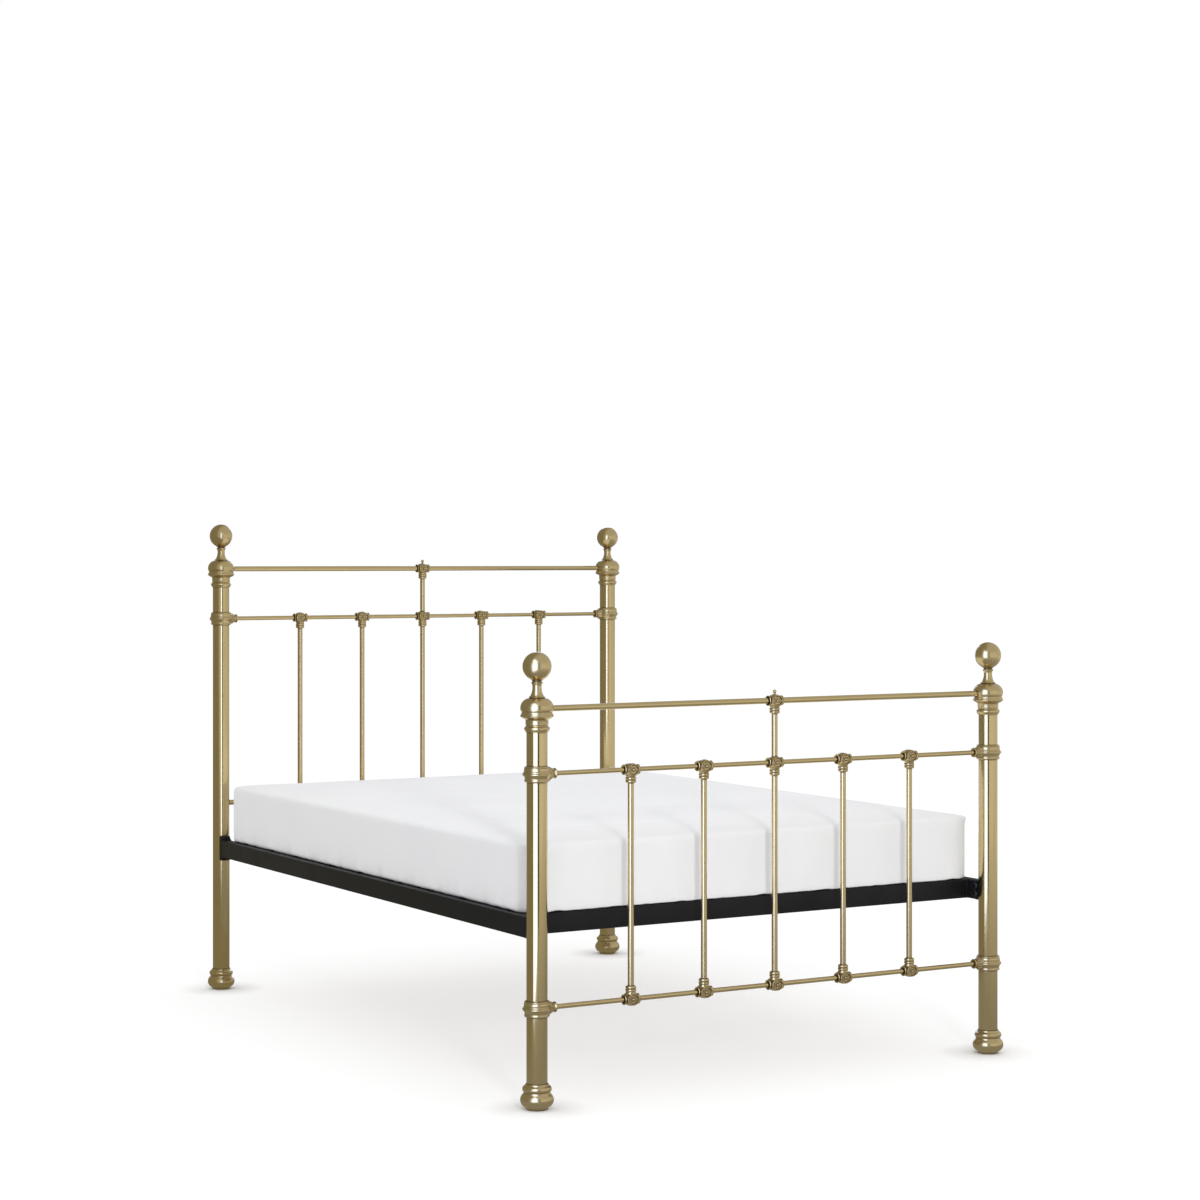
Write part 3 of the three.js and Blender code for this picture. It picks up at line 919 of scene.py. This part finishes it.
def side_rail(inward):
    """A rail with its axis at x = 0. Its ledge points inward, to +X (1) or -X (-1)."""
    face = side_rail_width / 2
    half = head_axis_y - bracket_reach + 0.003
    piece = block("side_rail", (-face, -half, rail_bottom), (face, half, rail_top), 0.0028, 4)
    near, far = sorted((inward * (face - 0.004), inward * (face + 0.022)))
    low, high = (near, -ledge_end, ledge_low), (far, ledge_end, ledge_low + ledge_thickness)
    boolean(piece, block("ledge", low, high, 0.0006, 2), "UNION")
    for end, way in (("foot", -1), ("head", 1)):
        near, far = way * (head_axis_y - bracket_reach), way * (head_axis_y - bracket_wrap)
        low = (-bracket_width / 2, min(near, far), plate_heights[end][0])
        high = (bracket_width / 2, max(near, far), plate_heights[end][1])
        boolean(piece, block("plate", low, high, 0.0025, 4), "UNION")
        drill = round_bar("drill", tube_radius + 0.3, 300, 600, "Z", 96, (0, way * head_axis_y, 0))
        boolean(piece, drill, "DIFFERENCE")
    return piece


for side, inward in (("left", 1), ("right", -1)):
    piece = side_rail(inward)
    piece.name = side + "_side_rail_welded"
    piece.location.x = post_axis["foot", side].x
    hand_over(fix_place(piece), black_paint, side + "_side_rail")
print("side rails run between", round(rail_bottom, 3), "and", round(rail_top, 3))

# %% [markdown]
# ## Cross rails and the centre rail
# Two more box sections close the frame at the head and foot, and a smaller one runs down the
# middle under the slats. A thin end plate with rounded edges is welded to each end of every
# one, and it is the plate that the bolts pull up tight.

# %% Cross rails and centre rail
plate_thickness = 0.004
waist = 0.0004                      # the bar is this much slimmer than its plates all round


def plated_bar(node, axis):
    """A bar that fills a node's box, between two end plates."""
    low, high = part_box(node)
    inner_low, inner_high = low.copy(), high.copy()
    inner_low[axis] += plate_thickness / 2
    inner_high[axis] -= plate_thickness / 2
    for other in {0, 1, 2} - {axis}:
        inner_low[other] += waist
        inner_high[other] -= waist
    piece = block(node + "_welded", inner_low, inner_high, 0.0024, 4)
    first_high, last_low = high.copy(), low.copy()
    first_high[axis] = low[axis] + plate_thickness
    last_low[axis] = high[axis] - plate_thickness
    boolean(piece, block("plate", low, first_high, 0.0012, 3), "UNION")
    boolean(piece, block("plate", last_low, high, 0.0012, 3), "UNION")
    return piece


for node, axis in (("foot_cross_rail", 0), ("head_cross_rail", 0), ("centre_rail", 1)):
    hand_over(plated_bar(node, axis), black_paint, node)
print("the frame is closed")

# %% [markdown]
# ## Bolts
# Two button-head bolts go through each end plate of a side rail. The head is a low dome with
# a six-sided socket: a turned dome with a hexagon extruded down into it.

# %% Bolts
bolt_profile = [
    (0, -3), (3.4, -3), (3.4, 0), (6.6, 0), (6.9, 0.3), (6.9, 0.9),
    *arc(2.0, 0.9, 4.9, 2.9, 0, 90, 8),
    (0, 3.8),
]
bolt = turned("bolt_pattern", bolt_profile, "X", 32)
boolean(bolt, round_bar("socket", 2.3, 1.6, 6, "X", 6), "DIFFERENCE")
bolt_inset = 0.015                  # from the top or bottom of a plate
for (end, side), axis in post_axis.items():
    inward = 1 if side == "left" else -1
    toward_middle = -1 if end == "head" else 1
    x = axis.x + inward * (bracket_width / 2 + 0.0001)
    y = axis.y + toward_middle * (bracket_reach - 0.0052)
    lowest, highest = plate_heights[end]
    for number, height in enumerate((lowest + bolt_inset, highest - bolt_inset)):
        piece = copied(bolt, f"{end}_{side}_bolt_{number}", (x, y, height), facing[side])
        hand_over(piece, steel)
scrap(bolt)
print("eight bolts")

# %% [markdown]
# ## Slats
# Fourteen sprung beech slats. A slat is a flat bar with well rounded long edges, so it is
# bevelled hard, and its ends are hidden in moulded holders that sit on the ledges.

# %% Slats and their holders
slat_inset = 0.0006                 # the holder's wall above and below the slat
holder_length = 0.034
holder_wall = 0.002
slat_low, slat_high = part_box("slat_01")
slat_half_width = (slat_high.y - slat_low.y) / 2
slat_end = slat_high.x - 0.002
slat = block(
    "slat_pattern",
    (-slat_end, -slat_half_width, slat_low.z + slat_inset),
    (slat_end, slat_half_width, slat_high.z - slat_inset),
    0.0034, 5,
)
holder_out = slat_high.x + 0.0016
holder = block(
    "holder_pattern",
    (holder_out - holder_length, -slat_half_width - holder_wall, slat_low.z - 0.0001),
    (holder_out, slat_half_width + holder_wall, slat_high.z + 0.0001),
    0.0012, 3,
)
pocket = block(
    "pocket",
    (holder_out - holder_length - 0.01, -slat_half_width - 0.0002, slat_low.z + slat_inset - 0.0001),
    (slat_end + 0.0005, slat_half_width + 0.0002, slat_high.z - slat_inset + 0.0001),
    0.0034, 5,
)
boolean(holder, pocket, "DIFFERENCE")

slat_count = 14
for number in range(1, slat_count + 1):
    node = f"slat_{number:02d}"
    place = (0, middle(node).y, 0)
    hand_over(copied(slat, node + "_sprung", place), beech, node)
    hand_over(copied(holder, node + "_right_holder", place), plastic)
    hand_over(copied(holder, node + "_left_holder", place, (0, 0, pi)), plastic)
scrap(slat)
scrap(holder)
print(slat_count, "slats of", round(2 * slat_end, 3), "metres")

# %% [markdown]
# ## The mattress
# A sprung mattress in a close white cover. Its shape comes from cloth that is blown up a
# little: a rounded block, smaller than the finished mattress, is remeshed into even faces
# and swells under pressure, which crowns the top and softens every edge by itself. The move
# of each point is held to a limit, and the whole is fitted to its size afterwards.

# %% The block that the mattress swells from
mattress_low, mattress_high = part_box("mattress")
swell = 0.007
foot_corner = 0.052
head_corner = 0.012
top_roll = 0.013                    # radius of the top edges
bottom_roll = 0.006
overhang = Vector((0.014, 0.004, 0))  # how far the cover reaches over the frame

full_low, full_high = mattress_low - overhang, mattress_high + overhang
mattress = block("white_mattress", full_low + Vector((swell,) * 3), full_high - Vector((swell,) * 3))
round_edges(mattress, lambda a, b: abs(a.z - b.z) > 0.01 and a.y < 0, foot_corner, 10)
round_edges(mattress, lambda a, b: abs(a.z - b.z) > 0.01 and a.y > 0.8, head_corner, 6)
half_height = (full_low.z + full_high.z) / 2
round_edges(mattress, lambda a, b: abs(a.z - b.z) < 0.001 and a.z > half_height, top_roll, 6)
round_edges(mattress, lambda a, b: max(a.z, b.z) < full_low.z + swell + 0.001, bottom_roll, 4)
mattress.data.remesh_voxel_size = 0.014
bpy.ops.object.voxel_remesh()
print("the block has", len(mattress.data.polygons), "faces")


# %% Swell it with cloth
def points_of(piece):
    flat = np.empty(len(piece.data.vertices) * 3)
    piece.data.vertices.foreach_get("co", flat)
    return flat.reshape(-1, 3)


def move_points(piece, points):
    piece.data.vertices.foreach_set("co", points.ravel())
    piece.data.update()


start_points = points_of(mattress)
cloth = mattress.modifiers.new("swell", "CLOTH")
cloth.settings.quality = 5
cloth.settings.use_pressure = True
cloth.settings.uniform_pressure_force = 4
cloth.settings.tension_stiffness = 8
cloth.settings.compression_stiffness = 8
cloth.settings.bending_stiffness = 1.5
cloth.settings.effector_weights.gravity = 0
cloth.point_cache.frame_end = 20
for frame_number in range(1, 21):
    bpy.context.scene.frame_set(frame_number)
select(mattress)
bpy.ops.object.modifier_apply(modifier=cloth.name)
moves = points_of(mattress) - start_points
lengths = np.linalg.norm(moves, axis=1, keepdims=True)
print("cloth moved up to", round(float(lengths.max()), 4))
limit = swell * 1.25
move_points(mattress, start_points + moves * limit / np.sqrt(limit ** 2 + lengths ** 2))
bpy.context.scene.frame_set(1)

points = points_of(mattress)
reach_low, reach_high = points.min(0), points.max(0)
points = (points - reach_low) / (reach_high - reach_low)
points = points * np.array(full_high - full_low) + np.array(full_low)

# its own weight presses the underside flat on the slats
sag = 0.012
low_share = np.clip(1 - (points[:, 2] - full_low.z) / 0.07, 0, 1)
points[:, 2] = np.maximum(points[:, 2] - sag * low_share, full_low.z)
move_points(mattress, points)

subdivision = mattress.modifiers.new("round", "SUBSURF")
subdivision.levels = 1
subdivision.render_levels = 1
select(mattress)
bpy.ops.object.modifier_apply(modifier=subdivision.name)
print("the mattress has", len(mattress.data.polygons), "faces")

# %% [markdown]
# The cover lies nearly flat, with a few long shallow creases across the top where it was
# pulled on, and small puckers low on the sides where it tucks in over the frame. They are
# gentle moves of the points, each a rounded ridge that fades out at its ends.

# %% Creases and puckers
mattress_top = mattress_high.z
points = points_of(mattress)
x, y, z = points.T


def crease(points, start, end, height, width):
    """Raise a ridge along a line on the top, with a shallow furrow beside it."""
    start, end = np.array(start), np.array(end)
    along = end - start
    length = np.linalg.norm(along)
    along = along / length
    across = np.array((-along[1], along[0]))
    from_start = points[:, :2] - start
    travel = np.clip(from_start @ along / length, 0, 1)
    bow = 0.012 * np.sin(2 * pi * travel)
    offset = from_start @ across - bow
    fade = np.sin(pi * travel) ** 0.8
    furrow = np.exp(-(((offset - 2.1 * width) / (1.4 * width)) ** 2))
    ridge = np.exp(-((offset / width) ** 2)) - 0.45 * furrow
    on_top = np.clip((points[:, 2] - mattress_top + 0.03) / 0.02, 0, 1)
    points[:, 2] += height * ridge * fade * on_top


creases = [
    ((-0.60, -0.78), (0.36, -0.80), 0.0026, 0.012),
    ((-0.62, -0.66), (0.22, -0.70), 0.0034, 0.013),
    ((-0.60, -0.54), (0.40, -0.60), 0.0030, 0.014),
    ((-0.56, -0.40), (0.10, -0.46), 0.0028, 0.014),
    ((-0.45, -0.27), (0.42, -0.36), 0.0024, 0.015),
    ((-0.58, -0.12), (0.14, -0.20), 0.0022, 0.016),
    ((-0.30, 0.06), (0.48, -0.04), 0.0018, 0.016),
    ((-0.56, 0.22), (0.06, 0.15), 0.0018, 0.017),
    ((-0.20, 0.38), (0.46, 0.30), 0.0015, 0.017),
    ((-0.58, 0.58), (0.16, 0.52), 0.0014, 0.018),
    ((0.10, -0.72), (0.58, -0.71), 0.0018, 0.014),
]
for line in creases:
    crease(points, *line)

# puckers: the lower part of each side moves in and out in an uneven rhythm
centre = np.array((full_low + full_high) / 2)[:2]
out = points[:, :2] - centre
half_size = np.array(full_high - full_low)[:2] / 2
on_foot_or_head = np.abs(out[:, 1]) / half_size[1] > np.abs(out[:, 0]) / half_size[0]
along_edge = np.where(on_foot_or_head, x, y)
rhythm = np.sin(along_edge * 31 + 1.3) + 0.7 * np.sin(along_edge * 73 + 0.4)
rhythm += 0.5 * np.sin(along_edge * 127)
low_down = np.clip(1 - (z - full_low.z) / 0.055, 0, 1) ** 1.5
on_side = np.clip((np.abs(out) / half_size).max(axis=1) * 40 - 38.6, 0, 1)
pucker = 0.0016
push = pucker * rhythm * low_down * on_side
points[:, 1] += np.where(on_foot_or_head, np.sign(out[:, 1]) * push, 0)
points[:, 0] += np.where(on_foot_or_head, 0, np.sign(out[:, 0]) * push)
points[:, 2] += np.maximum(rhythm, 0) * pucker * low_down * on_side

# the end of the corner seam stands up a little at the foot end
for side in (-1, 1):
    seam_end = np.array((side * (full_high.x - 0.012), full_low.y + 0.014, mattress_top - 0.012))
    near = np.exp(-(((points - seam_end) / (0.016, 0.016, 0.011)) ** 2).sum(axis=1))
    points += near[:, None] * np.array((side * 0.006, -0.003, 0.002))
move_points(mattress, points)
smooth(mattress)
hand_over(mattress, cover, "mattress", body="mattress")
lowest, highest = ([round(v, 4) for v in ends] for ends in (points.min(0), points.max(0)))
print("mattress between", lowest, "and", highest)

# %% [markdown]
# ## The studio
# The floor is a wide white sheet. In a studio with a lit white floor only part of a shadow
# shows, so the camera sees the floor as a mix of its own light and what falls on it. The
# share that falls on it is largest round the feet, where a shadow is deepest. Brass reflects
# a floor and a room that are dim and warm on one side, and brighter on the other.

# %% Floor
dark_side = (-0.64, 0.77, 0.0)      # the way that the dim side of the room lies
dim_level = 0.285
warm_grey = (1.0, 0.95, 0.72, 1)
white = (1, 1, 1, 1)


def seen_by(tree, ray, shader, otherwise):
    """Show one shader to one kind of ray, and another shader to the rest."""
    is_ray = add(tree, "ShaderNodeLightPath").outputs[ray]
    return add(tree, "ShaderNodeMixShader", {0: is_ray, 1: otherwise, 2: shader}).outputs[0]


def reflected_studio(tree, heading, bright):
    """Colour and level that brass reflects: dim and warm to the left and behind."""
    dim = spread(tree, vector(tree, "DOT_PRODUCT", heading, dark_side), -0.1, 0.3)
    level = add(tree, "ShaderNodeMix", {0: dim, 2: bright, 3: dim_level})
    return blend(tree, dim, white, warm_grey), level.outputs[0]


deselect()
bpy.ops.mesh.primitive_plane_add(size=60, location=(0, 0, 0))
floor = bpy.context.object
floor.name = "studio_floor"
floor_material, tree = new_material(
    "studio_floor", Roughness=1.0, Specular_IOR_Level=0.0, Base_Color=(0.82, 0.82, 0.82, 1)
)
place = own_place(tree)
away = vector(tree, "LENGTH", place)
bright = spread(tree, away, 1.5, 5.0, 0.34, 0.64)
tint, level = reflected_studio(tree, vector(tree, "NORMALIZE", place), bright)
sheen = add(tree, "ShaderNodeEmission", {"Color": tint, "Strength": level})

shadow_share = spread(tree, away, 2.0, 4.5, 0.42, 0.0)
foot_place = Vector((post_axis["foot", "right"].x, post_axis["head", "right"].y, 0))
from_foot = vector(tree, "SUBTRACT", vector(tree, "ABSOLUTE", place), foot_place)
near_foot = spread(tree, vector(tree, "LENGTH", from_foot), 0.03, 0.16, 0.95, 0.3)
shadow_share = math(tree, "MAXIMUM", shadow_share, near_foot)
glow = add(tree, "ShaderNodeEmission", {"Color": white, "Strength": 1.12}).outputs[0]
shade = add(tree, "ShaderNodeBsdfDiffuse", {"Color": white}).outputs[0]
card = add(tree, "ShaderNodeMixShader", {0: shadow_share, 1: glow, 2: shade}).outputs[0]

plain = tree.nodes["Principled BSDF"].outputs[0]
surface = seen_by(tree, "Is Glossy Ray", sheen.outputs[0], otherwise=plain)
surface = seen_by(tree, "Is Camera Ray", card, otherwise=surface)
tree.links.new(surface, tree.nodes["Material Output"].inputs["Surface"])
floor.data.materials.append(floor_material)
print("floor down")

# %% [markdown]
# The air around the bed is white for the camera and soft light for the mattress. Brass
# reflects the two-sided room instead. Panels add the highlights: a tall cool one at the left
# gives every post its white streak, another does so from behind, and two faint walls fill in
# on the right. The last two light the fabric and the floor, and don't show in the brass.

# %% Air and light panels
world = bpy.data.worlds.new("studio_air")
world.use_nodes = True
bpy.context.scene.world = world
tree = world.node_tree
tree.nodes.clear()


def air(tint, level):
    return add(tree, "ShaderNodeBackground", {"Color": tint, "Strength": level}).outputs[0]


direction = add(tree, "ShaderNodeTexCoord").outputs["Generated"]
reflected = air(*reflected_studio(tree, direction, 0.56))
seen = seen_by(tree, "Is Glossy Ray", reflected, otherwise=air(white, 0.8))
seen = seen_by(tree, "Is Camera Ray", air(white, 1.0), otherwise=seen)
add(tree, "ShaderNodeOutputWorld", {"Surface": seen})


def panel(name, place, aim, size, glow, diffuse=True, glossy=True, tint=(1, 1, 1)):
    """A rectangular light. Its glow is how bright its face looks, whatever its size."""
    data = bpy.data.lights.new(name, "AREA")
    data.shape = "RECTANGLE"
    data.size, data.size_y = size
    data.energy = glow * 4 * size[0] * size[1]
    data.color = tint
    light = bpy.data.objects.new(name, data)
    bpy.context.collection.objects.link(light)
    light.location = place
    toward = Vector(aim) - Vector(place)
    light.rotation_euler = toward.to_track_quat("-Z", "Y").to_euler()
    light.visible_camera = False
    light.visible_diffuse = diffuse
    light.visible_glossy = glossy
    return light


daylight = (0.42, 0.54, 1.0)        # cool, so that its streak on warm brass looks white
streak = {"diffuse": False, "tint": daylight}
panel("streak_panel", (-1.8, -2.47, 1.5), (0, -2.47, 1.5), (2.06, 3.4), 3.1, **streak)
panel("right_wall", (1.6, -5.6, 1.6), (1.6, 0, 1.6), (6.4, 3.6), 0.14, diffuse=False)
panel("far_wall", (5.0, -2.4, 1.6), (0, -2.4, 1.6), (6.0, 3.6), 0.08, diffuse=False)
panel("rear_panel", (1.95, 3.7, 1.6), (0, 0.4, 1.0), (1.0, 3.2), 2.4, **streak)
panel("key", (-2.6, -8.0, 3.0), (0, 0, 0.5), (0.8, 0.8), 64, glossy=False)
panel("top_fill", (0, 0, 4.0), (0, 0, 0), (5.0, 5.0), 0.3, glossy=False)
bpy.context.scene.view_settings.view_transform = "Standard"
bpy.context.scene.view_settings.look = "None"
print("six panels lit")

# %% [markdown]
# A dark card stands at the front edge of the tall panel. In every post it shows as a thin
# dark line beside the white streak, which makes the tube look round and the metal polished.

# %% Dark card
deselect()
card_start, card_end = Vector((-1.8, -3.51, 1.6)), Vector((-0.95, -4.1, 1.6))
card_along = card_end - card_start
card_turn = (radians(90), 0, atan2(card_along.y, card_along.x))
bpy.ops.mesh.primitive_plane_add(size=1, location=(card_start + card_end) / 2, rotation=card_turn)
dark_card = bpy.context.object
dark_card.name = "dark_card"
dark_card.scale = (card_along.length, 3.2, 1)
fix_place(dark_card)
card_material, tree = new_material(
    "dark_card", Roughness=1.0, Specular_IOR_Level=0.0, Base_Color=(0.0, 0.0, 0.0, 1),
    Emission_Color=(1.0, 0.95, 0.80, 1), Emission_Strength=0.1,
)
dark_card.data.materials.append(card_material)
dark_card.visible_camera = False
dark_card.visible_diffuse = False
dark_card.visible_shadow = False
print("the card is", round(card_along.length, 2), "metres wide")

# %% [markdown]
# ## The count
# The last step prints how many pieces were handed over.

# %% Count the pieces
print(len(handed_over), "pieces handed over")
